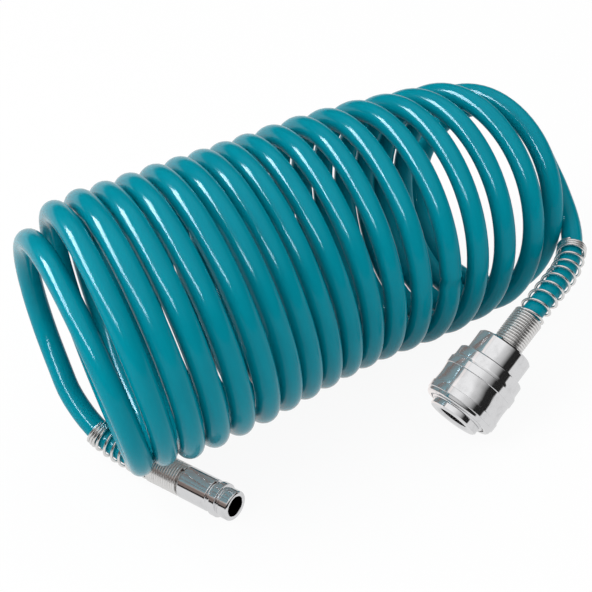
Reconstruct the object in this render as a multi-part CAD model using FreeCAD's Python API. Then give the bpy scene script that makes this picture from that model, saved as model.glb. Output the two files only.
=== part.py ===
import FreeCAD, Part
import math
import os

V = FreeCAD.Vector

# Hose
hose_d = 8.3
hose_bore = 5.0
hose_r = hose_d / 2
bore_r = hose_bore / 2

# Coil, one row per station: turn, X, Y, loop radius, lean, skew, lift of the lowest point.
# Whole turns are the tops, and the nearer side is a quarter turn later.
stations = [
    (-0.5, -102.95, 9.5, 51.95, -8.7, -12.75, 18.9),
    (-0.2, -98.75, 0.35, 43.25, -7.65, -12.2, 13.9),
    (0.1, -95.95, -4.5, 41.1, -7.4, -13.35, 12.6),
    (0.5, -93.2, -4.3, 43.5, -7.6, -13.45, 13.2),
    (1.0, -87.8, -4.0, 46.0, -7.0, -14.8, 13.5),
    (2.0, -78.3, -6.0, 46.5, -6.5, -14.3, 12.5),
    (3.0, -68.15, -6.5, 46.55, -6.45, -13.95, 11.5),
    (4.0, -57.4, -6.45, 46.5, -6.5, -13.75, 10.4),
    (5.0, -45.9, -6.0, 46.5, -6.5, -13.4, 9.0),
    (6.0, -34.25, -4.4, 46.25, -6.55, -13.2, 7.0),
    (7.0, -22.8, -2.5, 46.0, -6.5, -13.3, 5.0),
    (8.0, -11.7, -1.0, 46.0, -6.5, -13.55, 3.0),
    (9.0, -0.65, 0.0, 46.0, -6.1, -13.65, 1.5),
    (10.0, 10.2, 0.1, 45.8, -4.5, -13.5, 0.8),
    (11.0, 20.95, -0.5, 45.5, -2.45, -13.05, 0.5),
    (12.0, 31.6, -2.05, 45.3, -0.5, -12.25, 0.2),
    (13.0, 43.0, -4.0, 45.0, 2.0, -10.5, 0.0),
    (14.0, 54.25, -6.15, 44.4, 4.05, -9.0, 0.0),
    (15.0, 65.65, -7.45, 43.6, 5.5, -6.95, 0.0),
    (16.0, 78.15, -8.0, 42.5, 7.1, -3.35, 0.0),
    (17.0, 89.35, -9.5, 40.5, 8.4, -0.65, 0.0),
    (17.5, 95.0, -5.5, 38.5, 9.5, 0.0, 0.0),
    (18.0, 103.0, -0.5, 32.5, 12.5, 1.0, 0.0),
    (18.4, 100.5, -6.5, 32.5, 4.0, 4.0, 0.0),
]
coil_from = -0.39
coil_to = 18.1
quarter_turns = 4

# Plug end: nose tip, heading of its mouth from -Y towards +X
plug_tip = V(-73.0, -53.5, 6.5)
plug_heading = 13.0
plug_nose_r = 5.7
plug_collar_r = plug_nose_r + 0.8
plug_body_r = plug_nose_r + 0.4
plug_groove_r = plug_nose_r - 0.4
plug_nose_end = 4.0
plug_collar_front = 5.4
plug_collar_back = 7.8
plug_waist_front = 8.4
plug_waist_back = 9.4
plug_length = 22.7
plug_hex = 7.8
plug_hex_depth = 5.5

# Coupler end: centre of the nose face, heading of its mouth and tilt towards the floor
coupler_nose = V(13.5, -74.0, 10.1)
coupler_heading = 183.0
coupler_tilt = 31.0
socket_r = 6.15
socket_relief_r = socket_r + 0.2
mouth_chamfer = 0.85
body_r = 9.6
nose_ring_r = body_r + 0.5
ring_groove_r = body_r + 0.1
ring_wire = 1.6
ring_at = 3.4
sleeve_land_r = body_r + 0.3
sleeve_inner_r = body_r + 2.15
sleeve_r = sleeve_inner_r + 2.85
sleeve_front = 3.0
sleeve_back = 24.5
sleeve_travel = 5.0
land_front = 9.9
land_back = 11.6
ramp = 0.2
tail_front = 20.0
tail_back = 33.6
tail_r = body_r + 1.8
thread_r = body_r - 1.0
body_end = 28.0
web_front = body_end + 0.9
chamber_r = thread_r - 1.7
seal_front = 12.6
seal_back = 14.2
seal_depth = 1.15
seat_front = 14.8
seat_back = 16.4
seat_r = chamber_r - 2.2
ball_at = 9.5
ball_gap = 0.2
ball_reach = 0.95
ball_d = sleeve_land_r - ball_gap - (socket_r - ball_reach)
ball_r = ball_d / 2
ball_travel = ramp * sleeve_travel
balls = 4
pocket_gap = 0.2
socket_guide = ball_at - ball_r - pocket_gap - 0.05
valve_front = 12.2
valve_travel = 4.0
valve_nose_r = seat_r - 0.4
valve_head_r = chamber_r - 0.6
valve_head_front = seat_back + 1.2
valve_head_back = valve_head_front + 1.6

# Hose joints
stem_length = 6.8
stem_r = bore_r - 0.05
stem_bore_r = stem_r - 0.55
ferrule_length = 6.5
ferrule_gap = 0.05
ferrule_wall = 0.7
ferrule_r = hose_r + ferrule_gap + ferrule_wall

# Guards
guard_wire = 1.1
guard_r = hose_r + guard_wire / 2 + 0.6
guard_grip_r = ferrule_r + guard_wire / 2 + 0.1
guard_start = 0.8
grip_pitch = 1.55
grip_turns = 9
end_pitch = 1.6
end_turns = 2
plug_open_pitch = 3.5
plug_open_turns = 7
coupler_open_pitch = 4.9
coupler_open_turns = 8

# Inner springs
sleeve_spring_wire = 0.8
sleeve_spring_r = body_r + 1.1
sleeve_spring_turns = 3.5
valve_spring_wire = 0.7
valve_spring_r = chamber_r - 2.3
valve_spring_turns = 5.0


# The value and slope of each station column at a turn, smooth through the stations
def column(k, t):
    n = len(stations)
    i = 0
    while i < n - 2 and t > stations[i + 1][0]:
        i += 1

    def slope(j):
        if j == 0:
            a, b = 0, 1
        elif j == n - 1:
            a, b = n - 2, n - 1
        else:
            h0 = stations[j][0] - stations[j - 1][0]
            h1 = stations[j + 1][0] - stations[j][0]
            s0 = (stations[j][k] - stations[j - 1][k]) / h0
            s1 = (stations[j + 1][k] - stations[j][k]) / h1
            return (s0 * h1 + s1 * h0) / (h0 + h1)
        return (stations[b][k] - stations[a][k]) / (stations[b][0] - stations[a][0])

    h = stations[i + 1][0] - stations[i][0]
    u = (t - stations[i][0]) / h
    p0, p1 = stations[i][k], stations[i + 1][k]
    m0, m1 = slope(i) * h, slope(i + 1) * h
    return ((1 + 2 * u) * (1 - u) ** 2 * p0 + u * (1 - u) ** 2 * m0
            + u * u * (3 - 2 * u) * p1 + u * u * (u - 1) * m1)


# Centre line of the coil at a turn
def coil_point(t):
    x0, y0, r, lean, skew, lift = [column(k, t) for k in range(1, 7)]
    a = 2 * math.pi * t
    x = x0 + lean * math.cos(a) + skew * math.sin(a)
    y = y0 - r * math.sin(a)
    z = r * (1 + math.cos(a)) + hose_r + lift
    return V(x, y, z)


def coil_heading(t):
    d = coil_point(t + 0.002) - coil_point(t - 0.002)
    d.normalize()
    return d


def unit(v):
    w = V(v)
    w.normalize()
    return w


# Arc from a to b that leaves a along t
def arc(a, t, b):
    chord = b - a
    c = unit(chord)
    n = t - c * t.dot(c)
    if n.Length < 1e-6:
        return Part.LineSegment(a, b).toShape()
    n.normalize()
    bend = math.acos(max(-1.0, min(1.0, t.dot(c))))
    mid = (a + b) * 0.5 + n * (chord.Length / 2 * math.tan(bend / 2))
    return Part.Arc(a, mid, b).toShape()


# Two arcs from a to b that keep both headings
def biarc(a, ta, b, tb):
    v = b - a
    s = ta + tb
    k = 2 * (1 - ta.dot(tb))
    vs = v.dot(s)
    if k < 1e-9:
        d = v.dot(v) / (4 * v.dot(tb))
    else:
        d = (-vs + math.sqrt(vs * vs + k * v.dot(v))) / k
    j = (a + b + (ta - tb) * d) * 0.5
    tj = unit(b - a - (ta + tb) * d)
    return [arc(a, ta, j), arc(j, tj, b)]


# A tube with a bore along edges that run smoothly on, closed by two flat rings
def hollow_tube(edges, start, t0, end, t1, r_out, r_in):
    path = Part.Wire(edges)
    faces = []
    for r in (r_out, r_in):
        ring = Part.Wire([Part.makeCircle(r, start, t0)])
        shell = path.makePipeShell([ring], False, False)
        if r == r_in:
            shell.reverse()
        faces += shell.Faces
    for p, t in ((start, t0 * -1), (end, t1)):
        outer = Part.Wire([Part.makeCircle(r_out, p, t)])
        inner = Part.Wire([Part.makeCircle(r_in, p, t)])
        inner.reverse()
        faces.append(Part.Face([outer, inner]))
    shell = Part.Shell(faces)
    shell.sewShape()
    solid = Part.Solid(shell)
    if solid.Volume < 0:
        solid.reverse()
    return solid


def solid_tube(edges, start, t0, r):
    ring = Part.Wire([Part.makeCircle(r, start, t0)])
    return Part.Wire(edges).makePipeShell([ring], True, False)


# A route of straight runs joined by the largest arcs that fit
class Route:
    def __init__(self, points):
        self.points = [V(p) for p in points]
        self.pieces = []
        self.radii = []
        here = self.points[0]
        for i in range(1, len(self.points) - 1):
            p = self.points[i]
            a = unit(p - self.points[i - 1])
            b = unit(self.points[i + 1] - p)
            short = min((p - self.points[i - 1]).Length, (self.points[i + 1] - p).Length)
            turn = math.acos(a.dot(b))
            cut = 0.45 * short
            r = cut / math.tan(turn / 2)
            self.radii.append(r)
            n = unit(b - a * a.dot(b))
            first = p - a * cut
            self.pieces.append(("line", here, a, (first - here).Length))
            self.pieces.append(("arc", first, a, n, r, turn))
            here = p + b * cut
        last = self.points[-1]
        self.pieces.append(("line", here, unit(last - here), (last - here).Length))
        self.length = sum(self.size(q) for q in self.pieces)

    def size(self, q):
        return q[3] if q[0] == "line" else q[4] * q[5]

    # Point, heading and a side vector that turns with the route
    def at(self, s):
        side = unit(V(0, 0, 1).cross(self.pieces[0][2]))
        for q in self.pieces:
            size = self.size(q)
            here = max(0.0, min(s, size))
            if q[0] == "line":
                if s <= size or q is self.pieces[-1]:
                    return q[1] + q[2] * min(s, size), q[2], side
            else:
                a = here / q[4]
                t = q[2] * math.cos(a) + q[3] * math.sin(a)
                n = q[3] * math.cos(a) - q[2] * math.sin(a)
                b = q[2].cross(q[3])
                turned = t * side.dot(q[2]) + n * side.dot(q[3]) + b * side.dot(b)
                if s <= size:
                    centre = q[1] + q[3] * q[4]
                    return centre - n * q[4], t, turned
                side = turned
            s -= size

    def edges(self):
        out = []
        for q in self.pieces:
            if q[0] == "line":
                out.append(Part.LineSegment(q[1], q[1] + q[2] * q[3]).toShape())
            else:
                half = q[5] / 2
                centre = q[1] + q[3] * q[4]
                mid = centre + (q[2] * math.sin(half) - q[3] * math.cos(half)) * q[4]
                end = centre + (q[2] * math.sin(q[5]) - q[3] * math.cos(q[5])) * q[4]
                out.append(Part.Arc(q[1], mid, end).toShape())
        return out


# Least distance of a wound wire's centre line to its own next turns, less the wire
def least_gap(point, t_from, t_to, wire, steps=24):
    best = 1e9
    n = int((t_to - t_from) * steps)
    pts = [point(t_from + i / steps) for i in range(n + 1)]
    fine = 5
    for i in range(n + 1):
        for j in range(-steps // 4, steps // 4 + 1):
            m = i + steps + j
            if m > n:
                break
            if (pts[m] - pts[i]).Length < best + 1.0:
                for k in range(-fine, fine + 1):
                    u = t_from + (m + k / fine) / steps
                    if u <= t_to:
                        best = min(best, (point(u) - pts[i]).Length)
    return best - wire


# A wire wound round a route: row by row the turns, the pitch and the radius
def wound_wire(route, s_from, rows, wire):
    knots = []
    s = s_from
    turn = 0.0
    for count, pitch, r in rows:
        for i in range(int(count * 4)):
            knots.append((turn, s, r))
            turn += 0.25
            s += pitch / 4
    knots.append((turn, s, rows[-1][2]))
    last = turn

    def point(t):
        i = min(int(t * 4), len(knots) - 2)
        u = t * 4 - i
        s0, s1 = knots[i][1], knots[i + 1][1]
        r = knots[i][2] * (1 - u) + knots[i + 1][2] * u
        p, d, side = route.at(s0 + (s1 - s0) * u)
        up = d.cross(side)
        a = 2 * math.pi * t
        return p + (side * math.cos(a) + up * math.sin(a)) * r

    def heading(t):
        a, b = max(0.0, t - 0.02), min(last, t + 0.02)
        return unit(point(b) - point(a))

    t0, t1 = heading(0.0), heading(last)
    edges = [Part.LineSegment(point(0.0) - t0 * wire, point(0.0)).toShape()]
    for i in range(int(last * 4)):
        edges += biarc(point(i / 4), heading(i / 4), point((i + 1) / 4), heading((i + 1) / 4))
    edges.append(Part.LineSegment(point(last), point(last) + t1 * wire).toShape())
    solid = solid_tube(edges, point(0.0) - t0 * wire, t0, wire / 2)
    return solid, last, least_gap(point, 0.0, last, wire), s


# A turned piece: its outline as (distance from the face, radius), set on an axis
def turned(outline, origin, axis):
    pts = [V(r, 0, a) for a, r in outline]
    pts.append(pts[0])
    face = Part.Face(Part.makePolygon(pts))
    solid = face.revolve(V(0, 0, 0), V(0, 0, 1), 360)
    solid = Part.Solid(solid.Shells[0]) if solid.ShapeType != "Solid" else solid
    return placed(solid, origin, axis)


def placed(shape, origin, axis):
    out = shape.copy()
    out.Placement = FreeCAD.Placement(origin, FreeCAD.Rotation(V(0, 0, 1), axis))
    return out


# A radial direction about an axis, at an angle
def spoke(axis, angle):
    turn = FreeCAD.Rotation(V(0, 0, 1), axis)
    a = math.radians(angle)
    return turn.multVec(V(math.cos(a), math.sin(a), 0))


nodes = {}
rad = math.radians

# Headings: the mouths look out, the bodies run back from them
plug_out = V(math.sin(rad(plug_heading)), -math.cos(rad(plug_heading)), 0)
plug_in = plug_out * -1
flat = math.cos(rad(coupler_tilt))
coupler_out = V(
    math.cos(rad(coupler_heading)) * flat,
    math.sin(rad(coupler_heading)) * flat,
    -math.sin(rad(coupler_tilt)),
)
coupler_in = coupler_out * -1

# Plug body with its hexagon socket, collar, locking groove and hose stem
stem_end = plug_length + stem_length
plug_body = turned([
    (0.0, plug_hex / 2), (0.0, plug_nose_r - 0.5), (0.5, plug_nose_r),
    (plug_nose_end, plug_nose_r), (plug_nose_end + 0.3, plug_groove_r),
    (plug_collar_front - 0.4, plug_groove_r), (plug_collar_front, plug_collar_r),
    (plug_collar_back, plug_collar_r), (plug_waist_front, plug_groove_r),
    (plug_waist_back, plug_groove_r), (plug_waist_back + 0.6, plug_body_r),
    (plug_length, plug_body_r), (plug_length, stem_r),
    (stem_end - 0.6, stem_r), (stem_end, stem_r - 0.4), (stem_end, stem_bore_r),
    (plug_hex_depth + 2.0, stem_bore_r), (plug_hex_depth, plug_hex / 2),
], plug_tip, plug_in)
corner = plug_hex / math.sqrt(3)
hexagon = [V(corner * math.cos(rad(60 * i)), corner * math.sin(rad(60 * i)), 0) for i in range(7)]
socket = Part.Face(Part.makePolygon(hexagon)).extrude(V(0, 0, plug_hex_depth))
nodes["plug_body"] = plug_body.cut(placed(socket, plug_tip, plug_in))
nodes["plug_ferrule"] = turned([
    (plug_length, hose_r + ferrule_gap), (plug_length, ferrule_r),
    (plug_length + ferrule_length, ferrule_r),
    (plug_length + ferrule_length, hose_r + ferrule_gap),
], plug_tip, plug_in)

# Route of the hose from the plug up to the coil
first = coil_point(coil_from)
first_t = coil_heading(coil_from)
plug_root = plug_tip + plug_in * plug_length
plug_route = Route([
    plug_root,
    plug_root + plug_in * 14.1,
    V(-85.0, -3.5, 6.2),
    V(-88.6, 10.2, 10.5),
    first - first_t * (hose_d + 10.0),
    first - first_t * hose_d,
])

# Route of the hose from the coupler up to the coil
last = coil_point(coil_to)
last_t = coil_heading(coil_to)
coupler_root = coupler_nose + coupler_in * tail_back
coupler_route = Route([
    coupler_root,
    coupler_root + coupler_in * 12.5,
    V(68.8, -69.1, 38.1),
    V(86.9, -63.25, 38.45),
    V(100.5, -52.0, 42.8),
    last + last_t * (hose_d + 11.5),
    last + last_t * hose_d,
])

for name, route in (("hose_plug_tail", plug_route), ("hose_coupler_tail", coupler_route)):
    start, t0, side = route.at(0)
    end, t1, side = route.at(route.length)
    nodes[name] = hollow_tube(route.edges(), start, t0, end, t1, hose_r, bore_r)
    section = math.pi * (hose_r ** 2 - bore_r ** 2)
    print(name, "radii", [round(r, 1) for r in route.radii], "length", round(route.length, 1),
          "volume ratio", round(nodes[name].Volume / (section * route.length), 4))

# The coil, with a straight end at each side
edges = [Part.LineSegment(first - first_t * hose_d, first).toShape()]
count = int(round((coil_to - coil_from) * quarter_turns))
step = (coil_to - coil_from) / count
for i in range(count):
    a = coil_from + step * i
    edges += biarc(coil_point(a), coil_heading(a), coil_point(a + step), coil_heading(a + step))
edges.append(Part.LineSegment(last, last + last_t * hose_d).toShape())
nodes["hose_coil"] = hollow_tube(edges, first - first_t * hose_d, first_t,
                                 last + last_t * hose_d, last_t, hose_r, bore_r)
coil_length = sum(e.Length for e in edges)
print("hose_coil turns", coil_to - coil_from, "least gap to itself",
      round(least_gap(coil_point, coil_from, coil_to, hose_d), 2),
      "length", round(coil_length, 1), "volume ratio",
      round(nodes["hose_coil"].Volume / (section * coil_length), 4))
print("hose length", round(coil_length + plug_route.length + coupler_route.length, 1))

# Guards round the hose at both ends
for name, route, wide, open_pitch in (
    ("plug_guard_spring", plug_route, plug_open_turns, plug_open_pitch),
    ("coupler_guard_spring", coupler_route, coupler_open_turns, coupler_open_pitch),
):
    rows = [(grip_turns, grip_pitch, guard_grip_r), (wide, open_pitch, guard_r),
            (end_turns, end_pitch, guard_r)]
    nodes[name], turns, gap, s_end = wound_wire(route, guard_start, rows, guard_wire)
    print(name, "turns", turns, "least gap to itself", round(gap, 2), "reaches", round(s_end, 1))

# Coupler body: nose ring, ring groove, ball pockets, seal groove, seat and valve chamber
groove_front = ring_at - ring_wire / 2
groove_back = ring_at + ring_wire / 2
coupler_body = turned([
    (0.0, socket_r + mouth_chamfer), (0.0, nose_ring_r - 0.5), (0.5, nose_ring_r),
    (groove_front, nose_ring_r), (groove_front, ring_groove_r), (groove_back, ring_groove_r),
    (groove_back, nose_ring_r), (groove_back + 0.8, nose_ring_r), (groove_back + 1.3, body_r),
    (tail_front, body_r), (tail_front, thread_r), (body_end, thread_r), (body_end, chamber_r),
    (seat_back, chamber_r), (seat_back, seat_r), (seat_front, seat_r),
    (seat_front, socket_relief_r), (seal_back, socket_relief_r),
    (seal_back, socket_r + seal_depth), (seal_front, socket_r + seal_depth),
    (seal_front, socket_relief_r), (socket_guide, socket_relief_r),
    (socket_guide, socket_r), (mouth_chamfer, socket_r),
], coupler_nose, coupler_in)
ball_c = sleeve_land_r - ball_gap - ball_r
ball_centres = []
for i in range(balls):
    way = spoke(coupler_in, 45 + 360 / balls * i)
    centre = coupler_nose + coupler_in * ball_at
    inner = ball_r * math.sin(math.acos((ball_c - socket_relief_r) / ball_r)) + pocket_gap
    low = socket_relief_r - 0.3
    cone = Part.makeCone(inner, ball_r + pocket_gap, ball_c - low, centre + way * low, way)
    hole = Part.makeCylinder(ball_r + pocket_gap, body_r - ball_c + 1, centre + way * ball_c, way)
    coupler_body = coupler_body.cut(cone.fuse(hole))
    ball_centres.append((centre + way * ball_c, way))
    nodes["locking_ball_%d" % (i + 1)] = Part.makeSphere(ball_r, centre + way * ball_c)
nodes["coupler_body"] = coupler_body

# Wire ring that stops the sleeve
ring_r = ring_groove_r + ring_wire / 2
ring_disc = Part.Face(Part.Wire([Part.makeCircle(ring_wire / 2, V(ring_r, 0, ring_at), V(0, 1, 0))]))
nodes["retaining_ring"] = placed(ring_disc.revolve(V(0, 0, 0), V(0, 0, 1), 335),
                                 coupler_nose, coupler_in)

# Sleeve: two proud bands outside, the ball ramp and land inside
ramp_front = groove_back + 0.1
front_r = sleeve_land_r + ramp * (land_front - ramp_front)
counterbore_r = sleeve_inner_r + 0.15
sleeve_bands = [
    (0.0, -1.2), (0.5, -0.7), (1.7, -0.4), (1.9, -0.1), (4.7, 0.0), (4.9, -0.3), (9.0, -0.55),
    (12.9, -0.35), (13.1, -0.1), (16.1, -0.1), (16.3, -0.2), (17.4, -0.8), (21.0, -0.9),
]
nodes["coupler_sleeve"] = turned(
    [(sleeve_front, counterbore_r)]
    + [(sleeve_front + at, sleeve_r + rise) for at, rise in sleeve_bands]
    + [
        (sleeve_back, sleeve_r - 1.4), (sleeve_back, sleeve_inner_r), (land_back, sleeve_inner_r),
        (land_back, sleeve_land_r), (land_front, sleeve_land_r), (ramp_front, front_r),
        (ramp_front, counterbore_r),
    ], coupler_nose, coupler_in)

# Tailpiece: thread socket for the body, web, hose stem
stem_end = tail_back + stem_length
nodes["coupler_tailpiece"] = turned([
    (tail_front, thread_r), (tail_front, tail_r), (tail_back - 0.7, tail_r),
    (tail_back, tail_r - 0.7), (tail_back, stem_r), (stem_end - 0.6, stem_r),
    (stem_end, stem_r - 0.4), (stem_end, stem_bore_r), (web_front, stem_bore_r),
    (web_front, thread_r),
], coupler_nose, coupler_in)
nodes["coupler_ferrule"] = turned([
    (tail_back, hose_r + ferrule_gap), (tail_back, ferrule_r),
    (tail_back + ferrule_length, ferrule_r),
    (tail_back + ferrule_length, hose_r + ferrule_gap),
], coupler_nose, coupler_in)
nodes["tailpiece_seal"] = turned([
    (body_end, chamber_r + 0.1), (body_end, thread_r), (web_front, thread_r),
    (web_front, chamber_r + 0.1),
], coupler_nose, coupler_in)

# Seal ring in the mouth
seal_w = (seal_back - seal_front) / 2 - 0.04
seal_ring = Part.makeTorus(socket_r + seal_depth - 0.02 - seal_w, seal_w)
seal_at = coupler_nose + coupler_in * ((seal_front + seal_back) / 2)
nodes["mouth_seal"] = placed(seal_ring, seal_at, coupler_in)

# Valve: hollow nose with four side holes, head and spring guide
valve_guide_r = valve_spring_r - 1.4
valve_bore_r = valve_nose_r - 1.9
valve = turned([
    (valve_front, valve_bore_r), (valve_front, valve_nose_r - 0.4),
    (valve_front + 0.4, valve_nose_r), (valve_head_front, valve_nose_r),
    (valve_head_front, valve_head_r), (valve_head_back, valve_head_r),
    (valve_head_back, valve_guide_r), (valve_head_back + 3.3, valve_guide_r),
    (valve_head_back + 3.3, 0.0), (seat_back - 0.1, 0.0), (seat_back - 0.1, valve_bore_r),
], coupler_nose, coupler_in)
for i in range(4):
    way = spoke(coupler_in, 90 * i)
    hole = Part.makeCylinder(0.8, 6.0, coupler_nose + coupler_in * (seat_back - 1) + way, way)
    valve = valve.cut(hole)
nodes["valve_poppet"] = valve
nodes["valve_seal"] = turned([
    (seat_back + 0.05, valve_nose_r + 0.05), (seat_back + 0.05, valve_head_r - 0.3),
    (seat_back + 0.3, valve_head_r), (valve_head_front - 0.05, valve_head_r),
    (valve_head_front - 0.05, valve_nose_r + 0.05),
], coupler_nose, coupler_in)

# Inner springs on a straight route along the coupler
inner_route = Route([
    coupler_nose,
    coupler_nose + coupler_in * 20 + V(0, 0, 1e-4),
    coupler_nose + coupler_in * 40,
])
for name, a, b, turns, r, wire in (
    ("sleeve_spring", land_back, tail_front, sleeve_spring_turns, sleeve_spring_r,
     sleeve_spring_wire),
    ("valve_spring", valve_head_back, web_front, valve_spring_turns, valve_spring_r, valve_spring_wire),
):
    room = b - a - wire - 0.1
    rows = [(turns, room / turns, r)]
    nodes[name], turns, gap, s_end = wound_wire(inner_route, a + wire / 2 + 0.05, rows, wire)
    print(name, "turns", turns, "least gap to itself", round(gap, 2))

# Set the origin under the middle of the whole part
box = FreeCAD.BoundBox()
for shape in nodes.values():
    box.add(shape.optimalBoundingBox(False, False) if hasattr(shape, "optimalBoundingBox")
            else shape.BoundBox)
shift = V(-(box.XMin + box.XMax) / 2, -(box.YMin + box.YMax) / 2, -box.ZMin)
print("box", [round(v, 2) for v in (box.XMin, box.XMax, box.YMin, box.YMax, box.ZMin, box.ZMax)])
print("shift", [round(v, 3) for v in shift])


def told(name, p, axis=None):
    q = p + shift
    line = [round(v / 1000, 6) for v in q]
    print(name, line, [round(v, 5) for v in axis] if axis else "")


told("plug tip", plug_tip, plug_out)
told("plug root", plug_root, plug_in)
told("coupler nose", coupler_nose, coupler_out)
told("coupler root", coupler_root, coupler_in)
told("coupler land back", coupler_nose + coupler_in * land_back, coupler_in)
told("coupler tail front", coupler_nose + coupler_in * tail_front, coupler_in)
told("coupler web", coupler_nose + coupler_in * web_front, coupler_in)
told("coil start", first - first_t * hose_d, first_t)
told("coil end", last + last_t * hose_d, last_t)
for i, (centre, way) in enumerate(ball_centres):
    told("ball %d" % (i + 1), centre, way)

os.makedirs("parts", exist_ok=True)
for name, shape in nodes.items():
    if shape.ShapeType == "Compound" and len(shape.Solids) == 1:
        shape = shape.Solids[0]
    shape = shape.copy()
    shape.translate(shift)
    print(name, shape.ShapeType, len(shape.Solids), shape.isValid(), round(shape.Volume, 1))
    shape.exportStep("parts/%s.step" % name)
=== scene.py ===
"""A coiled air hose: one teal hose with bright fittings and wire bend guards, on a pale floor.

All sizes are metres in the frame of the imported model. A "straightened" coordinate is a point's
place on its own piece laid out straight, so patterns follow a hose, a wire or a turned part.
"""

import math
from functools import cache

import bpy
import numpy as np
from mathutils import Matrix, Vector


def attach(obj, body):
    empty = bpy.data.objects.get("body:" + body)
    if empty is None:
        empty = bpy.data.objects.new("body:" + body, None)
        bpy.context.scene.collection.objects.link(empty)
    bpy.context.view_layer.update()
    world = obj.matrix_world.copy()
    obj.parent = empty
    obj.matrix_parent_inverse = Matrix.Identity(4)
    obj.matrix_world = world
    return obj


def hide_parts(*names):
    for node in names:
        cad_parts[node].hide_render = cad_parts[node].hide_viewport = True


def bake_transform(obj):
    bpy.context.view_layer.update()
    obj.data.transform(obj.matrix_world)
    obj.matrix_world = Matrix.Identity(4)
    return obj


bl_info = {
    "name": "Coiled Air Hose",
    "version": (1, 0, 0),
    "blender": (4, 5, 0),
    "location": "3D View > Sidebar > Air Hose",
    "description": "Dresses the packed coiled air hose and sets up its studio",
    "category": "Add Mesh",
}

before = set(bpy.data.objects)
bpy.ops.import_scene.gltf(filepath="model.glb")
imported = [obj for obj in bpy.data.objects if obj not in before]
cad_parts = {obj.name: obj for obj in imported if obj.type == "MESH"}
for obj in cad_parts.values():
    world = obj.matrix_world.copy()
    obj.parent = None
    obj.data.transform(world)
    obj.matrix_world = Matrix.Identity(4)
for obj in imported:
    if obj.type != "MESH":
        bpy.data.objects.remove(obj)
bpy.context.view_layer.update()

TURN = 2 * math.pi

# The coil, one row per station, in millimetres: turn, X, Y, loop radius, lean, skew, lift.
STATIONS = np.array([
    (-0.5, -102.95, 9.5, 51.95, -8.7, -12.75, 18.9),
    (-0.2, -98.75, 0.35, 43.25, -7.65, -12.2, 13.9),
    (0.1, -95.95, -4.5, 41.1, -7.4, -13.35, 12.6),
    (0.5, -93.2, -4.3, 43.5, -7.6, -13.45, 13.2),
    (1.0, -87.8, -4.0, 46.0, -7.0, -14.8, 13.5),
    (2.0, -78.3, -6.0, 46.5, -6.5, -14.3, 12.5),
    (3.0, -68.15, -6.5, 46.55, -6.45, -13.95, 11.5),
    (4.0, -57.4, -6.45, 46.5, -6.5, -13.75, 10.4),
    (5.0, -45.9, -6.0, 46.5, -6.5, -13.4, 9.0),
    (6.0, -34.25, -4.4, 46.25, -6.55, -13.2, 7.0),
    (7.0, -22.8, -2.5, 46.0, -6.5, -13.3, 5.0),
    (8.0, -11.7, -1.0, 46.0, -6.5, -13.55, 3.0),
    (9.0, -0.65, 0.0, 46.0, -6.1, -13.65, 1.5),
    (10.0, 10.2, 0.1, 45.8, -4.5, -13.5, 0.8),
    (11.0, 20.95, -0.5, 45.5, -2.45, -13.05, 0.5),
    (12.0, 31.6, -2.05, 45.3, -0.5, -12.25, 0.2),
    (13.0, 43.0, -4.0, 45.0, 2.0, -10.5, 0.0),
    (14.0, 54.25, -6.15, 44.4, 4.05, -9.0, 0.0),
    (15.0, 65.65, -7.45, 43.6, 5.5, -6.95, 0.0),
    (16.0, 78.15, -8.0, 42.5, 7.1, -3.35, 0.0),
    (17.0, 89.35, -9.5, 40.5, 8.4, -0.65, 0.0),
    (17.5, 95.0, -5.5, 38.5, 9.5, 0.0, 0.0),
    (18.0, 103.0, -0.5, 32.5, 12.5, 1.0, 0.0),
    (18.4, 100.5, -6.5, 32.5, 4.0, 4.0, 0.0),
])
# The turns at which the two tails join the coil.
COIL_FROM, COIL_TO = -0.39, 18.1
POINTS_PER_TURN = 32
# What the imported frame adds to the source's places, because its middle and floor are elsewhere.
SHIFT = (-0.002186, 0.018691, 0.000048)

HOSE_WIDTH = 0.0083
HOSE_BORE = 0.005
# Turns of the coil, and how much the tube's radius stands out there, where it looks thicker.
SWELL = ((-0.5, 1.5, 1.8, 7.8, 9.2), (0.00015, 0.00015, 0.00038, 0.00038, 0.0))
# Lengths of hose left out at the plug's end and in all, for the swelling and for a weight along
# the hose that is worked out but not used, and the two tails' length, for the count of rings.
SWELL_FROM, GIVE_FROM, OUTSIDE = 0.078, 0.08, 0.18
TAILS = 0.17


def placed(millimetres):
    """Points given in the source's millimetres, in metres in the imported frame."""
    return np.asarray(millimetres) * 0.001 + SHIFT


# Where the fittings are and which way they run back towards the hose.
PLUG_TIP = placed((-73.0, -53.5, 6.5))
PLUG_IN = np.array([-0.22495, 0.97437, 0.0])
PLUG_LENGTH = 0.0227
COUPLER_NOSE = placed((13.5, -74.0, 10.1))
COUPLER_IN = np.array([0.85599, 0.04486, 0.51504])
COUPLER_LENGTH = 0.0336

# Control points of the two tails, and how far the ones on a straight run are from its end.
PLUG_TAIL = placed([(-85.0, -3.5, 6.2), (-88.6, 10.2, 10.5)])
COUPLER_TAIL = placed([(100.5, -52.0, 42.8), (86.9, -63.25, 38.45), (68.8, -69.1, 38.1)])
PLUG_LEAD, COUPLER_LEAD = 0.0141, 0.0125
LEADS_IN, LEADS_OUT = (0.0183, 0.0083), (0.0083, 0.0198)

# Guards: rows of (turns, rise of a turn, radius of the wire's centre), closed, open and closed.
GUARD_WIRE = 0.0011
GUARD_START = 0.0008
GUARD_REACH = 0.07
GRIP, FREE_END = (13, 0.00107308, 0.00555), (3, 0.00113, 0.0053)
PLUG_GUARD = [GRIP, (7, 0.0035, 0.0053), FREE_END]
COUPLER_GUARD = [GRIP, (8, 0.0049, 0.0053), FREE_END]

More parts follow.
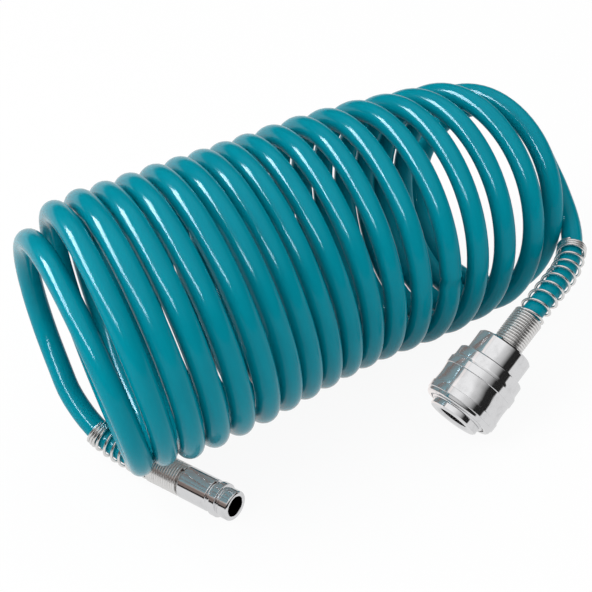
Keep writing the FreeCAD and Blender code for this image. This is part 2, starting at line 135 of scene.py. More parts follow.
# Inner springs: name, node, what moves it, front, back, turns, radius and wire.
SPRINGS = (
    ("sleeve_coil", "sleeve_spring", "sleeve", 0.0116, 0.0200, 3.5, 0.0107, 0.0008),
    ("valve_coil", "valve_spring", "valve", 0.0192, 0.0289, 5.0, 0.0046, 0.0007),
)
SLACK = 0.00005

# The plug's outline in millimetres: place, radius and corner, from the socket's bottom round.
PLUG_ROWS = np.array([
    (7.5, 0.0, 0.0), (7.5, 1.9, 0.0), (5.5, 3.9, 0.0), (0.25, 3.9, 0.1), (0.0, 4.55, 0.1),
    (0.0, 5.2, 0.15), (0.5, 5.7, 0.3), (4.0, 5.7, 0.12), (4.3, 5.3, 0.15), (5.0, 5.3, 0.15),
    (5.4, 6.5, 0.2), (7.8, 6.5, 0.25), (8.4, 5.3, 0.25), (9.4, 5.3, 0.25), (10.0, 6.1, 0.25),
    (22.4, 6.1, 0.2), (22.7, 5.8, 0.1), (22.7, 2.45, 0.0), (28.9, 2.45, 0.1),
    (29.5, 2.05, 0.1), (29.5, 0.0, 0.0),
])
# The socket's rows up to this place and radius lie on its hexagon.
HEX_PLACE, HEX_RADIUS = 5.6, 3.95
# Radius inside which the plug's socket is painted near-black, as painted shade deep inside it.
PLUG_SHADED_BORE = 0.0046

# The sleeve's outline in the same way, out over its two proud bands and back inside.
SLEEVE_ROWS = np.array([
    (3.0, 11.9, 0.1), (3.0, 13.35, 0.15), (3.5, 13.9, 0.25), (4.75, 14.15, 0.1),
    (4.85, 14.5, 0.08), (7.7, 14.6, 0.1), (7.82, 14.28, 0.08), (12.0, 14.02, 2.0),
    (15.95, 14.2, 0.1), (16.05, 14.5, 0.08), (19.1, 14.5, 0.1), (19.25, 14.3, 0.1),
    (20.3, 13.8, 0.4), (24.0, 13.7, 0.2), (24.5, 13.2, 0.15), (24.5, 11.75, 0.1),
    (11.6, 11.75, 0.0), (11.6, 9.9, 0.1), (9.9, 9.9, 0.3), (4.3, 11.02, 0.1),
    (4.3, 11.9, 0.1), (3.0, 11.9, 0.1),
])

# Brightness of the room, for glossy rays, by the sine of the height above the horizon.
ROOM = ((0.005, 0.3), (0.03, 0.02), (0.42, 0.02), (0.5, 0.2), (0.66, 0.55), (0.82, 0.75),
        (0.9, 1.0))
WHITE = (1.0, 1.0, 1.0)
# Floor: grey for the lamps' light, and the share of plain white for what sees it.
FLOOR_GREY, FLOOR_WHITE, FLOOR_GLOSS_LOSS, FLOOR_DROP = 0.86, 0.93, 0.2, 0.0003
# Lamps that stand round the hose: name, azimuth, height, size, power, and whether for gloss only.
LAMPS = (
    ("soft_key", 165.0, 50.0, (0.9, 0.9), 8.0, False),
    ("left_strip", 135.0, 36.0, (1.0, 0.42), 80.0, True),
    ("front_strip", 190.0, 38.0, (1.0, 0.2), 34.0, True),
)
LAMPS_AWAY, LAMPS_AIM, STRIP_COLOUR = 1.2, (0.0, 0.0, 0.05), (0.68, 0.88, 1.0)
# Small warm lamps by the fittings, against the hose's mirror image in them: name, place, target,
# size and power.
FILLS = (
    ("coupler_fill", (0.018, -0.0355, 0.037), (0.018, -0.08, 0.037), (0.088, 0.074), 0.0045),
    ("plug_fill", (-0.08, -0.02, 0.0165), (-0.08, -0.0215, 0.0), (0.07, 0.034), 0.0016),
)
FILL_COLOUR = (1.0, 0.76, 0.67)
# Camera: place, and its yaw, pitch and roll in degrees.
EYE, EYE_TURN = (-0.320586, -0.383209, 0.411448), (51.52, 36.4, -2.62)


# ---------------------------------------------------------------- shapes


def unit(v):
    """A vector, or each row of several, divided by its length."""
    v = np.asarray(v, float)
    return v / np.linalg.norm(v, axis=-1, keepdims=True)


def column(k, t):
    """Column k of STATIONS at turns t: a cubic through every station, whose slope there is the
    mean of its two chords, each weighted by the other's width."""
    turn, value = STATIONS[:, 0], STATIONS[:, k]
    wide = np.diff(turn)
    chord = np.diff(value) / wide
    slope = np.empty(len(turn))
    slope[0], slope[-1] = chord[0], chord[-1]
    slope[1:-1] = (chord[:-1] * wide[1:] + chord[1:] * wide[:-1]) / (wide[:-1] + wide[1:])
    i = np.clip(np.searchsorted(turn, t, side="right") - 1, 0, len(wide) - 1)
    u, h = (t - turn[i]) / wide[i], wide[i]
    return ((1 + 2 * u) * (1 - u) ** 2 * value[i] + u * (1 - u) ** 2 * slope[i] * h
            + u * u * (3 - 2 * u) * value[i + 1] + u * u * (u - 1) * slope[i + 1] * h)


def coil_point(t):
    """Centre of the coil at turns t: a circle of radius R in the YZ plane about (X, Y), whose
    X swings by lean times the cosine and skew times the sine of the turn."""
    t = np.asarray(t, float)
    x0, y0, r, lean, skew, lift = (column(k, t) for k in range(1, 7))
    a = TURN * t
    height = r * (1 + np.cos(a)) + lift + HOSE_WIDTH * 500
    across = x0 + lean * np.cos(a) + skew * np.sin(a)
    return placed(np.stack([across, y0 - r * np.sin(a), height], axis=-1))


def coil_heading(t):
    """Direction of the coil at turn t, from two points close by."""
    return unit(coil_point(t + 0.002) - coil_point(t - 0.002))


def spline_line(points, steps=10):
    """Points along a NURBS spline of order 3 with these control points, ends included."""
    curve = bpy.data.curves.new("route", "CURVE")
    curve.dimensions = "3D"
    curve.resolution_u = steps
    spline = curve.splines.new("NURBS")
    spline.points.add(len(points) - 1)
    spline.points.foreach_set("co", np.c_[points, np.ones(len(points))].ravel())
    spline.order_u = 3
    spline.use_endpoint_u = True
    holder = bpy.data.objects.new("route", curve)
    mesh = bpy.data.meshes.new_from_object(holder)
    line = np.zeros(len(mesh.vertices) * 3)
    mesh.vertices.foreach_get("co", line)
    bpy.data.meshes.remove(mesh)
    bpy.data.objects.remove(holder)
    bpy.data.curves.remove(curve)
    return line.reshape(-1, 3)


class Path:
    """A line of points with its length along it, and a frame that turns with it: a fixed
    direction made square to the line, turned back by the twist summed so far. Where the line runs
    close to that direction, the sum is rough and two frames in a row can be far apart."""

    def __init__(self, line, steady=(0.0, 0.0, 1.0)):
        keep = np.r_[True, np.linalg.norm(np.diff(line, axis=0), axis=1) > 1e-7]
        self.line = line[keep]
        self.along = np.r_[0, np.cumsum(np.linalg.norm(np.diff(self.line, axis=0), axis=1))]
        self.length = self.along[-1]
        self.steady = np.array(steady)

    def points(self, s):
        """Places at distances s."""
        return np.stack([np.interp(s, self.along, self.line[:, k]) for k in range(3)], axis=-1)

    def frames(self, s, reach=0.0008):
        """Centres, directions and the two cross directions at distances s."""
        ahead = unit(self.points(np.minimum(s + reach, self.length))
                     - self.points(np.maximum(s - reach, 0)))
        side = unit(self.steady - (ahead @ self.steady)[:, None] * ahead)
        up = np.cross(ahead, side)
        middle = (up[1:] + up[:-1]) / 2
        twist = np.r_[0, np.cumsum(((side[1:] - side[:-1]) * middle).sum(1))]
        c, w = np.cos(twist)[:, None], np.sin(twist)[:, None]
        return self.points(s), ahead, side * c - up * w, side * w + up * c


def grid_mesh(name, rows, straight, closed_ends=True):
    """A mesh of a grid of points, rows x around x 3. Each ring closes on itself, and the first and
    last rings close on a point at their middle. straight holds the straightened place of each."""
    n, m = rows.shape[:2]
    points, flat = rows.reshape(-1, 3), straight.reshape(-1, 3)
    a = np.arange((n - 1) * m).reshape(n - 1, m)
    b = np.roll(a, -1, axis=1)
    quads = np.stack([a, b, b + m, a + m], axis=-1).reshape(-1, 4)
    faces = [quads]
    if closed_ends:
        points = np.r_[points, [rows[0].mean(0), rows[-1].mean(0)]]
        flat = np.r_[flat, [straight[0].mean(0), straight[-1].mean(0)]]
        first = np.arange(m)
        last = first + (n - 1) * m
        top, tail = n * m, n * m + 1
        faces.append(np.stack([np.roll(first, -1), first, np.full(m, top), np.full(m, -1)], -1))
        faces.append(np.stack([last, np.roll(last, -1), np.full(m, tail), np.full(m, -1)], -1))
    table = np.concatenate(faces)
    sizes = np.where(table[:, 3] < 0, 3, 4)
    corners = table.ravel()[table.ravel() >= 0]
    mesh = bpy.data.meshes.new(name)
    mesh.vertices.add(len(points))
    mesh.vertices.foreach_set("co", points.ravel())
    mesh.loops.add(len(corners))
    mesh.loops.foreach_set("vertex_index", corners.astype(np.int32))
    mesh.polygons.add(len(sizes))
    mesh.polygons.foreach_set("loop_start", np.r_[0, np.cumsum(sizes)[:-1]].astype(np.int32))
    mesh.update(calc_edges=True)
    mesh.validate()
    mesh.attributes.new("straight", "FLOAT_VECTOR", "POINT").data.foreach_set(
        "vector", flat.astype(np.float32).ravel())
    mesh.shade_smooth()
    thing = bpy.data.objects.new(name, mesh)
    bpy.context.scene.collection.objects.link(thing)
    return thing


def circles(centre, side, up, radius, places, sides):
    """Rings of points: about each centre its two cross directions, times the cosine and the sine
    of the angle, times the radius, one a ring or one a point. Gives the rings, and the same points
    on the piece laid out straight, where places are the rings' distances along it."""
    a = TURN * np.arange(sides) / sides
    radius = np.zeros((len(places), sides)) + radius
    x, y = radius * np.cos(a), radius * np.sin(a)
    rings = centre[:, None] + x[..., None] * side[:, None] + y[..., None] * up[:, None]
    return rings, np.stack([x, y, places[:, None] + 0 * x], axis=-1)


def wound_line(path, start, rows, per_turn=26):
    """Centre of a wire wound on a path: it turns evenly, rises by each row's rise in a turn, and
    its radius goes straight from one row's to the next over a quarter turn."""
    turns = np.r_[0, np.cumsum([n for n, _, _ in rows])]
    rise = np.r_[0, np.cumsum([n * p for n, p, _ in rows])]
    t = np.linspace(0, turns[-1], int(turns[-1] * per_turn) + 1)
    s = start + np.interp(t, turns, rise)
    knots, radii = [], []
    for k, (n, _, r) in enumerate(rows):
        knots += [turns[k] + (0.25 if k else 0), turns[k + 1]]
        radii += [r, r]
    centre, _, side, up = path.frames(s)
    a, r = TURN * t, np.interp(t, knots, radii)
    return centre + (np.cos(a)[:, None] * side + np.sin(a)[:, None] * up) * r[:, None]


def wire_piece(name, line, wire, sides=12):
    """A round wire along a line, with domed ends: over the last radius of its length the circle
    shrinks as a quarter circle does."""
    path = Path(line, steady=(0.31, 0.17, 0.93))
    half, bend = wire / 2, np.linspace(0, math.pi / 2, 5)
    middle = np.linspace(half, path.length - half, int(path.length / (wire * 0.42)))
    s = np.r_[half - half * np.cos(bend[:-1]), middle, path.length - half + half * np.sin(bend[1:])]
    dome = np.maximum(half * np.sin(bend[:-1]), wire * 0.02)
    r = np.r_[dome, np.full(len(middle), half), dome[::-1]]
    centre, _, side, up = path.frames(s, reach=half)
    return grid_mesh(name, *circles(centre, side, up, r[:, None], s, sides))


def rounded(outline, radii, steps=6, guard=0.05):
    """An outline of (place, radius) points with round corners: each corner is a quadratic curve
    between points its own radius away on both edges. One more point on each edge, a little
    further from the corner, keeps the flat beside it flat in the light."""
    points = np.array(outline, float)
    made = [points[:1]]
    u = np.linspace(0, 1, steps)[:, None]
    for i in range(1, len(points) - 1):
        a, b, c = points[i - 1], points[i], points[i + 1]
        before, after = np.linalg.norm(a - b), np.linalg.norm(c - b)
        cut = min(max(radii[i], 0.03), 0.4 * before, 0.4 * after)
        p, q = b + (a - b) * cut / before, b + (c - b) * cut / after
        more = min(cut + guard, 0.46 * before), min(cut + guard, 0.46 * after)
        made += [[b + (a - b) * more[0] / before],
                 (1 - u) ** 2 * p + 2 * u * (1 - u) * b + u * u * q,
                 [b + (c - b) * more[1] / after]]
    made.append(points[-1:])
    return np.concatenate(made)


def cross_directions(axis):
    """Two directions square to an axis: the first is level."""
    level = unit(np.cross((0.0, 0.0, 1.0), axis))
    return level, np.cross(axis, level)


def turned(name, outline, origin, axis, sides=144, six=None, closed_ends=True):
    """A turned piece: the outline's (place, radius) rows carried round the axis. six gives, for
    each row, how far its circle goes towards a hexagon, whose radius is the flat's over the cosine
    of the angle from the flat's middle."""
    level, other = cross_directions(axis)
    place, r = outline[:, 0], np.repeat(outline[:, 1:], sides, axis=1)
    if six is not None:
        a = TURN * np.arange(sides) / sides
        flat = 1 / np.cos((a + TURN / 12) % (TURN / 6) - TURN / 12)
        r = r * (1 + np.asarray(six)[:, None] * (flat - 1))
    centre = origin + place[:, None] * axis
    whole = circles(centre, np.array([level]), np.array([other]), r, place, sides)
    return grid_mesh(name, *whole, closed_ends)


# ---------------------------------------------------------------- shaders


class Tone:
    """A shader socket that Python's operators work on: each one adds a Math node."""

    def __init__(self, recipe, socket):
        self.recipe, self.socket = recipe, socket

    def out(self, name):
        """Another output of the same node."""
        return Tone(self.recipe, self.socket.node.outputs[name])

    def math(self, operation, first, second):
        return self.recipe.add("ShaderNodeMath", {"operation": operation}, {0: first, 1: second})

    def __add__(self, other):
        return self.math("ADD", self, other)

    def __rsub__(self, other):
        return self.math("SUBTRACT", other, self)

    def __mul__(self, other):
        return self.math("MULTIPLY", self, other)

    __radd__ = __add__
    __rmul__ = __mul__

    def clipped(self, low, high):
        """0 below low, 1 above high, and smooth between."""
        return self.recipe.add("ShaderNodeMapRange", {"interpolation_type": "SMOOTHSTEP"},
                               {"Value": self, "From Min": low, "From Max": high})


class Recipe:
    """A node tree, and the methods that add nodes to it."""

    def __init__(self, tree):
        self.tree = tree
        tree.nodes.clear()

    def add(self, kind, settings=None, sockets=None, out=0):
        """A node with its settings and sockets, given as one of its outputs."""
        node = self.tree.nodes.new(kind)
        for name, value in (settings or {}).items():
            if name == "stops":
                ramp = node.color_ramp
                while len(ramp.elements) < len(value):
                    ramp.elements.new(0.5)
                for element, (at, colour) in zip(ramp.elements, value):
                    element.position, element.color = at, (*colour, 1.0)
            else:
                setattr(node, name, value)
        for name, value in (sockets or {}).items():
            if isinstance(value, Tone):
                self.tree.links.new(value.socket, node.inputs[name])
            else:
                node.inputs[name].default_value = value
        return Tone(self, node.outputs[out])

    def end(self, kind, surface):
        """The tree's output node, showing the surface."""
        node = self.tree.nodes.new(kind)
        self.tree.links.new(surface.socket, node.inputs["Surface"])

    def noise(self, place, scale, detail, rough=0.5):
        return self.add("ShaderNodeTexNoise", None, {
            "Vector": place, "Scale": scale, "Detail": detail, "Roughness": rough})

    def stretched(self, place, by):
        return self.add("ShaderNodeVectorMath", {"operation": "MULTIPLY"}, {0: place, 1: by})

    def mixed(self, share, first, second):
        """A colour between two, each a colour or a Tone."""
        node = self.add("ShaderNodeMix", {"data_type": "RGBA"}, {0: share}, out=2)
        for k, value in ((6, first), (7, second)):
            socket = node.socket.node.inputs[k]
            if isinstance(value, Tone):
                self.tree.links.new(value.socket, socket)
            else:
                socket.default_value = (*value, 1.0)
        return node

    def bumped(self, height, distance, strength):
        return self.add("ShaderNodeBump", None, {
            "Height": height, "Distance": distance, "Strength": strength})


def finish_material(name, build):
    """A material whose Principled shader takes the sockets that build(recipe) gives."""
    material = bpy.data.materials.new(name)
    material.use_nodes = True
    recipe = Recipe(material.node_tree)
    surface = recipe.add("ShaderNodeBsdfPrincipled", None, build(recipe))
    recipe.end("ShaderNodeOutputMaterial", surface)
    return material


def straightened(recipe):
    """The piece's own straightened coordinates."""
    return recipe.add("ShaderNodeAttribute", {"attribute_name": "straight"}, out="Vector")


def on_axis(recipe, origin, axis):
    """Object coordinates turned so that Z runs along a fitting's axis from its origin."""
    level, other = cross_directions(axis)
    turn = Matrix(np.stack([level, other, axis], axis=1).tolist()).to_euler()
    place = recipe.add("ShaderNodeTexCoord", out="Object")
    return recipe.add("ShaderNodeMapping", {"vector_type": "TEXTURE"}, {
        "Vector": place, "Location": tuple(origin), "Rotation": tuple(turn)})


def hose_skin(colour, deep):
    """Smooth tube: faint lines along it from its making, soft clouds in the colour, tiny waves
    in the skin and a light haze of handling."""
    def build(recipe):
        place = straightened(recipe)
        cloud = recipe.noise(recipe.stretched(place, (1.0, 1.0, 0.25)), 260.0, 3.0)
        lines = recipe.noise(recipe.stretched(place, (1.0, 1.0, 0.02)), 1500.0, 2.0)
        waves = recipe.noise(recipe.stretched(place, (1.0, 1.0, 0.5)), 420.0, 2.0)
        haze = recipe.noise(place, 90.0, 4.0)
        share = (cloud * 0.7 + lines * 0.3).clipped(0.3, 0.7)
        return {
            "Base Color": recipe.mixed(share, deep, colour),
            "Roughness": 0.12 + haze.clipped(0.35, 0.75) * 0.04,
            "Specular IOR Level": 0.1,
            "Normal": recipe.bumped(waves * 0.8 + lines * 0.2, 0.00002, 0.4),
        }
    return finish_material("hose_skin", build)


def bright_metal(name, colour, place, base=0.07, turned_lines=0.5, bore=None):
    """Bright plated metal: fine turned rings along the axis, a few deeper ones, soft smudges in the
    gloss and a slight darkening where they are. bore is the radius inside which, past its first
    millimetre, the metal is painted near-black as painted shade deep in the bore."""
    def build(recipe):
        at = place(recipe)
        rings = recipe.noise(recipe.stretched(at, (0.02, 0.02, 1.0)), 9000.0, 2.0)
        broad = recipe.noise(recipe.stretched(at, (0.05, 0.05, 1.0)), 1400.0, 2.0)
        marks = recipe.noise(at, 240.0, 5.0, 0.6)
        share = marks.clipped(0.45, 0.8)
        paint = recipe.mixed(share, colour, tuple(0.86 * c for c in colour))
        # Painted shade: past the bore's first millimetre the colour goes to near-black, standing in
        # for the shade deep inside it.
        if bore:
            away = recipe.add("ShaderNodeVectorMath", {"operation": "LENGTH"},
                              {0: recipe.stretched(at, (1.0, 1.0, 0.0))}, out="Value")
            depth = recipe.add("ShaderNodeSeparateXYZ", None, {0: at}, out="Z")
            inside = (1.0 - away.clipped(bore, bore + 0.0001)) * depth.clipped(0.0004, 0.0016)
            paint = recipe.mixed(inside, paint, (0.012, 0.012, 0.012))
        return {
            "Base Color": paint,
            "Metallic": 1.0,
            "Roughness": base + share * 0.06 + rings.clipped(0.4, 0.8) * 0.03,
            "Normal": recipe.bumped(rings * 0.5 + broad * 0.5, 0.00001, turned_lines),
        }
    return finish_material(name, build)


def seal_rubber():
    """Black rubber: fine grain, and dust in patches."""
    def build(recipe):
        place = recipe.add("ShaderNodeTexCoord", out="Object")
        grain = recipe.noise(place, 2600.0, 3.0)
        dust = recipe.noise(place, 300.0, 4.0).clipped(0.5, 0.75)
        return {
            "Base Color": recipe.mixed(dust, (0.018, 0.018, 0.02), (0.05, 0.05, 0.052)),
            "Roughness": 0.55 + dust * 0.25,
            "Normal": recipe.bumped(grain, 0.00004, 0.5),
        }
    return finish_material("seal_rubber", build)


def dress(thing, material):
    """Gives a piece one material in place of what it had."""
    thing.data.materials.clear()
    thing.data.materials.append(material)


# ---------------------------------------------------------------- settings


class HoseSettings(bpy.types.PropertyGroup):
    """Sizes and colours of the hose."""

    colour: bpy.props.FloatVectorProperty(
        name="Colour", description="Colour of the hose", subtype="COLOR", size=3,
        default=(0.0, 0.235, 0.305), min=0.0, max=1.0)
    deep_colour: bpy.props.FloatVectorProperty(
        name="Deep colour", description="Colour of the darker clouds", subtype="COLOR", size=3,
        default=(0.0, 0.215, 0.283), min=0.0, max=1.0)
    sides: bpy.props.IntProperty(
        name="Sides", description="Points round the hose", default=24, min=8, max=48)
    rings_per_turn: bpy.props.IntProperty(
        name="Rings", description="Rings of points in each turn of the coil", default=84,
        min=24, max=160)


class FittingSettings(bpy.types.PropertyGroup):
    """Finish of the metal pieces."""

    plating: bpy.props.FloatVectorProperty(
        name="Plating", description="Colour of the bright fittings", subtype="COLOR", size=3,
        default=(0.80, 0.80, 0.81), min=0.0, max=1.0)
    steel: bpy.props.FloatVectorProperty(
        name="Wire", description="Colour of the wire", subtype="COLOR", size=3,
        default=(0.84, 0.83, 0.82), min=0.0, max=1.0)


class StageSettings(bpy.types.PropertyGroup):
    """Floor, lamps and camera."""

    lens: bpy.props.FloatProperty(
        name="Lens", description="Focal length of the camera in millimetres on a 36 mm sensor",
        default=100.22, min=10.0)
    level: bpy.props.FloatProperty(
        name="Room level", description="Strength of the even light from all round",
        default=0.8, min=0.0)
    floor_size: bpy.props.FloatProperty(
        name="Floor size", description="Side of the floor", default=6.0, unit="LENGTH")


# ---------------------------------------------------------------- the hose's line


def hose_route():
    """Control points of the whole hose: out of the plug, up into the coil, round it, and down into
    the coupler. The coil's points stand out from its line by an eighth of their second difference,
    which is what the spline cuts off."""
    count = int(round((COIL_TO - COIL_FROM) * POINTS_PER_TURN))
    t = np.linspace(COIL_FROM, COIL_TO, count + 1)
    h = t[1] - t[0]
    coil = coil_point(t)
    coil = coil - (coil_point(t + h) - 2 * coil + coil_point(t - h)) / 8
    first, last = coil_point(COIL_FROM), coil_point(COIL_TO)
    into, out = coil_heading(COIL_FROM), coil_heading(COIL_TO)
    plug_root = PLUG_TIP + PLUG_IN * PLUG_LENGTH
    coupler_root = COUPLER_NOSE + COUPLER_IN * COUPLER_LENGTH
    return np.array([
        plug_root, plug_root + PLUG_IN * PLUG_LEAD,
        *PLUG_TAIL,
        *(first - into * lead for lead in LEADS_IN),
        *coil,
        *(last + out * lead for lead in LEADS_OUT),
        *COUPLER_TAIL,
        coupler_root + COUPLER_IN * COUPLER_LEAD, coupler_root,
    ])


@cache
def hose_path():
    """The hose's path, worked out once."""
    return Path(spline_line(hose_route()))


def part_of_path(s0, s1, step=0.0004):
    """A stretch of the hose's path on its own, run from s0 to s1."""
    path = hose_path()
    return Path(path.points(np.linspace(s0, s1, int(abs(s1 - s0) / step))))


# ---------------------------------------------------------------- operators


class HOSE_OT_tube(bpy.types.Operator):
    """Makes the hose from end to end"""

    bl_idname = "air_hose.tube"
    bl_label = "Hose"

    def execute(self, context):
        look = context.scene.hose_look
        path = hose_path()
        turns = COIL_TO - COIL_FROM
        count = int(look.rings_per_turn * turns * path.length / (path.length - TAILS))
        s = np.linspace(0, path.length, count)
        centre, _, side, up = path.frames(s)
        turn = COIL_FROM + turns * (s - SWELL_FROM) / (path.length - OUTSIDE)
        radius = HOSE_WIDTH / 2 + np.interp(turn, SWELL[0], SWELL[1])[:, None]
        outer, flat_out = circles(centre, side, up, radius, s, look.sides)
        bore, flat_in = circles(centre, side, up, HOSE_BORE / 2, s, look.sides)
        tube = grid_mesh("hose", np.concatenate([outer, bore[::-1], outer[:1]]),
                         np.concatenate([flat_out, flat_in[::-1], flat_out[:1]]),
                         closed_ends=False)
        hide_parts("hose_plug_tail", "hose_coil", "hose_coupler_tail")
        bpy.data.collections["hose_gloss"].objects.link(tube)
        dress(tube, hose_skin(tuple(look.colour), tuple(look.deep_colour)))
        start, end = coil_point(COIL_FROM), coil_point(COIL_TO)
        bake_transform(tube)
        give = np.clip((s - GIVE_FROM) / (path.length - OUTSIDE), 0, 1)
        give = np.repeat(np.r_[give, give[::-1], give[:1]], look.sides)
        path.points(s)
        return {"FINISHED"}


class HOSE_OT_guards(bpy.types.Operator):
    """Makes the two wire bend guards"""

    bl_idname = "air_hose.guards"
    bl_label = "Bend guards"

    def execute(self, context):
        path = hose_path()
        steel = tuple(context.scene.fitting_look.steel)
        finish = bright_metal("guard_wire", steel, straightened, base=0.24, turned_lines=0.3)
        for name, node, body, rows, s0, s1 in (
            ("plug_guard", "plug_guard_spring", "plug_end", PLUG_GUARD, 0.0, GUARD_REACH),
            ("coupler_guard", "coupler_guard_spring", "coupler_end", COUPLER_GUARD,
             path.length, path.length - GUARD_REACH),
        ):
            line = wound_line(part_of_path(s0, s1), GUARD_START, rows)
            wire = wire_piece(name, line, GUARD_WIRE)
            dress(wire, finish)
            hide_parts(node)
            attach(wire, body)
        return {"FINISHED"}


class HOSE_OT_springs(bpy.types.Operator):
    """Makes the two springs inside the coupler"""

    bl_idname = "air_hose.springs"
    bl_label = "Inner springs"

    def execute(self, context):
        steel = tuple(context.scene.fitting_look.steel)
        finish = bright_metal("spring_wire", steel, straightened, base=0.16, turned_lines=0.3)
        straight = np.array([COUPLER_NOSE, COUPLER_NOSE + COUPLER_IN * 0.04])
        axis = Path(straight, (0.0, 1.0, 0.0))
        for name, node, mover, a, b, turns, r, wire in SPRINGS:
            room = b - a - wire - 2 * SLACK
            line = wound_line(axis, a + wire / 2 + SLACK, [(turns, room / turns, r)])
            coil = wire_piece(name, line, wire)
            dress(coil, finish)
            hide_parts(node)
            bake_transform(coil)
            place = np.zeros(len(coil.data.vertices) * 3)
            coil.data.vertices.foreach_get("co", place)
        return {"FINISHED"}


class HOSE_OT_plug(bpy.types.Operator):
    """Makes the plug with its hexagon socket, collar and locking groove"""

    bl_idname = "air_hose.plug"
    bl_label = "Plug"

    def execute(self, context):
        outline = rounded(PLUG_ROWS[:, :2], PLUG_ROWS[:, 2])
        inside = (outline[:, 1] <= HEX_RADIUS) & (outline[:, 0] <= HEX_PLACE)
        first = np.arange(len(outline)) < len(outline) // 2
        six = np.where(inside & first, 1.0, 0.0)
        plug = turned("plug", outline / 1000, PLUG_TIP, PLUG_IN, six=six)
        plating = tuple(context.scene.fitting_look.plating)
        dress(plug, bright_metal("plug_plating_painted_shade", plating, straightened, bore=PLUG_SHADED_BORE))
        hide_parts("plug_body")
        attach(plug, "plug_end")
        return {"FINISHED"}


class HOSE_OT_sleeve(bpy.types.Operator):
    """Makes the coupler's sleeve with its two proud bands and its ramp inside"""

    bl_idname = "air_hose.sleeve"
    bl_label = "Sleeve"

    def execute(self, context):
        outline = rounded(SLEEVE_ROWS[:, :2], SLEEVE_ROWS[:, 2]) / 1000
        sleeve = turned("sleeve", outline, COUPLER_NOSE, COUPLER_IN, closed_ends=False)
        plating = tuple(context.scene.fitting_look.plating)
        dress(sleeve, bright_metal("sleeve_plating", plating, straightened))
        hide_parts("coupler_sleeve")
        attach(sleeve, "sleeve")
        return {"FINISHED"}


class HOSE_OT_fittings(bpy.types.Operator):
    """Gives the fittings' own solids their finishes"""

    bl_idname = "air_hose.fittings"
    bl_label = "Fittings"

    def execute(self, context):
        look = context.scene.fitting_look
        plating, steel = tuple(look.plating), tuple(look.steel)

        def coupler(recipe):
            return on_axis(recipe, COUPLER_NOSE, COUPLER_IN)

        def plug(recipe):
            return on_axis(recipe, PLUG_TIP, PLUG_IN)

        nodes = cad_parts
        plated = bright_metal("coupler_plating", plating, coupler)
        inner = bright_metal("inner_steel", steel, coupler, base=0.2)
        ferrule = bright_metal("ferrule_steel", steel, plug, base=0.22)
        ball = bright_metal("ball_steel", steel, coupler, base=0.06, turned_lines=0.0)
        rubber = seal_rubber()
        metal = bpy.data.collections["bright_metal"]
        for name in ("coupler_body", "coupler_tailpiece", "retaining_ring", "plug_ferrule"):
            metal.objects.link(nodes[name])
        for name in ("sleeve", "plug", "plug_guard", "coupler_guard"):
            metal.objects.link(bpy.data.objects[name])
        for name in ("coupler_body", "coupler_tailpiece", "retaining_ring"):
            dress(nodes[name], plated)
        for name in ("coupler_ferrule", "valve_poppet"):
            dress(nodes[name], inner)
        dress(nodes["plug_ferrule"], ferrule)
        for k in range(1, 5):
            dress(nodes["locking_ball_%d" % k], ball)
        for name in ("tailpiece_seal", "mouth_seal", "valve_seal"):
            dress(nodes[name], rubber)
        return {"FINISHED"}


def lamp_at(name, place, target, size, power):
    """An oblong lamp at a place, facing the target."""
    lamp = bpy.data.lights.new(name, "AREA")
    lamp.shape, lamp.size, lamp.size_y, lamp.energy = "RECTANGLE", *size, power
    holder = bpy.data.objects.new(name, lamp)
    bpy.context.scene.collection.objects.link(holder)
    holder.location = place
    holder.rotation_mode = "QUATERNION"
    holder.rotation_quaternion = (Vector(target) - Vector(place)).to_track_quat("-Z", "Y")
    return holder


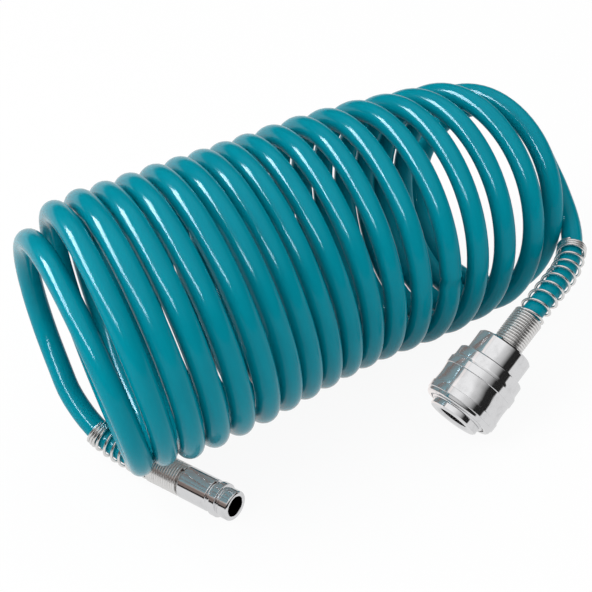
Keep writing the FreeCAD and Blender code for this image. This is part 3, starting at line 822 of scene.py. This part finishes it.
class HOSE_OT_stage(bpy.types.Operator):
    """Sets up the floor, the lamps and the camera"""

    bl_idname = "air_hose.stage"
    bl_label = "Studio"

    def execute(self, context):
        scene, look = context.scene, context.scene.stage_look
        half = look.floor_size / 2
        mesh = bpy.data.meshes.new("floor")
        mesh.from_pydata([(-half, -half, 0), (half, -half, 0), (half, half, 0), (-half, half, 0)],
                         [], [(0, 1, 2, 3)])
        floor = bpy.data.objects.new("floor", mesh)
        scene.collection.objects.link(floor)
        floor.location.z = -FLOOR_DROP
        paper = bpy.data.materials.new("floor_paper")
        paper.use_nodes = True
        recipe = Recipe(paper.node_tree)
        rays = recipe.add("ShaderNodeLightPath", out="Is Camera Ray")
        seen = rays.math("MAXIMUM", rays, rays.out("Is Glossy Ray"))
        seen = rays.math("MAXIMUM", seen, rays.out("Is Transmission Ray"))
        matte = recipe.add("ShaderNodeBsdfDiffuse", None, {"Color": (*(FLOOR_GREY,) * 3, 1.0)})
        white = recipe.add("ShaderNodeEmission", None, {
            "Color": (*WHITE, 1.0), "Strength": 1.0 - rays.out("Is Glossy Ray") * FLOOR_GLOSS_LOSS})
        both = recipe.add("ShaderNodeMixShader", None, {0: seen * FLOOR_WHITE, 1: matte, 2: white})
        recipe.end("ShaderNodeOutputMaterial", both)
        mesh.materials.append(paper)

        gloss, metal = (bpy.data.collections.new(name) for name in ("hose_gloss", "bright_metal"))
        world = bpy.data.worlds.new("studio")
        scene.world = world
        world.use_nodes = True
        recipe = Recipe(world.node_tree)
        rays = recipe.add("ShaderNodeLightPath", out="Is Camera Ray")
        seen = rays.math("MAXIMUM", rays, rays.out("Is Transmission Ray"))
        way = recipe.add("ShaderNodeTexCoord", out="Generated")
        height = recipe.add("ShaderNodeSeparateXYZ", None, {0: way}, out="Z")
        room = recipe.add("ShaderNodeValToRGB", {"stops": [
            (at, (shade,) * 3) for at, shade in ROOM]}, {0: height})
        even = (look.level,) * 3
        shown = recipe.mixed(rays.out("Is Glossy Ray"), even, room)
        back = recipe.add("ShaderNodeBackground", None, {
            "Color": recipe.mixed(seen, shown, WHITE), "Strength": 1.0})
        recipe.end("ShaderNodeOutputWorld", back)

        for name, az, el, size, power, shine in LAMPS:
            az, el = math.radians(az), math.radians(el)
            way = (math.cos(el) * math.cos(az), math.cos(el) * math.sin(az), math.sin(el))
            holder = lamp_at(name, Vector(way) * LAMPS_AWAY, LAMPS_AIM, size, power)
            holder.visible_diffuse, holder.visible_glossy = not shine, shine
            if shine:
                holder.data.color = STRIP_COLOUR
                holder.light_linking.receiver_collection = gloss

        for name, place, target, size, power in FILLS:
            holder = lamp_at(name, place, target, size, power)
            holder.data.color = FILL_COLOUR
            holder.visible_camera = holder.visible_diffuse = False
            holder.light_linking.receiver_collection = metal

        yaw, pitch, roll = (math.radians(angle) for angle in EYE_TURN)
        ahead = np.array([math.cos(pitch) * math.cos(yaw), math.cos(pitch) * math.sin(yaw),
                          -math.sin(pitch)])
        right = np.array([math.sin(yaw), -math.cos(yaw), 0.0])
        up = np.cross(right, ahead)
        side = math.cos(roll) * right + math.sin(roll) * up
        top = -math.sin(roll) * right + math.cos(roll) * up
        eye = bpy.data.cameras.new("camera")
        eye.lens, eye.sensor_width, eye.clip_start, eye.clip_end = look.lens, 36.0, 0.01, 20.0
        camera = bpy.data.objects.new("camera", eye)
        scene.collection.objects.link(camera)
        turned_to = np.stack([side, top, -ahead], axis=1)
        camera.matrix_world = Matrix(np.c_[turned_to, EYE].tolist() + [[0, 0, 0, 1]])
        scene.camera = camera
        scene.view_settings.view_transform = "Standard"
        return {"FINISHED"}


class HOSE_PT_panel(bpy.types.Panel):
    """Lists the pieces of the air hose"""

    bl_idname = "HOSE_PT_panel"
    bl_label = "Air Hose"
    bl_space_type = "VIEW_3D"
    bl_region_type = "UI"
    bl_category = "Air Hose"

    def draw(self, context):
        for operator in STEPS:
            self.layout.operator(operator.bl_idname)
        for group in ("hose_look", "fitting_look", "stage_look"):
            held = getattr(context.scene, group)
            for name in held.bl_rna.properties.keys():
                if name not in ("rna_type", "name"):
                    self.layout.prop(held, name)


STEPS = (HOSE_OT_stage, HOSE_OT_tube, HOSE_OT_guards, HOSE_OT_springs, HOSE_OT_plug,
         HOSE_OT_sleeve, HOSE_OT_fittings)
GROUPS = {"hose_look": HoseSettings, "fitting_look": FittingSettings,
          "stage_look": StageSettings}


def register():
    for group in GROUPS.values():
        bpy.utils.register_class(group)
    for step in STEPS:
        bpy.utils.register_class(step)
    bpy.utils.register_class(HOSE_PT_panel)
    for name, group in GROUPS.items():
        setattr(bpy.types.Scene, name, bpy.props.PointerProperty(type=group))


def unregister():
    for name in GROUPS:
        delattr(bpy.types.Scene, name)
    bpy.utils.unregister_class(HOSE_PT_panel)
    for step in reversed(STEPS):
        bpy.utils.unregister_class(step)
    for group in reversed(GROUPS.values()):
        bpy.utils.unregister_class(group)


def main():
    register()
    for step in STEPS:
        getattr(bpy.ops.air_hose, step.bl_idname.split(".")[1])()


if __name__ == "__main__":
    main()
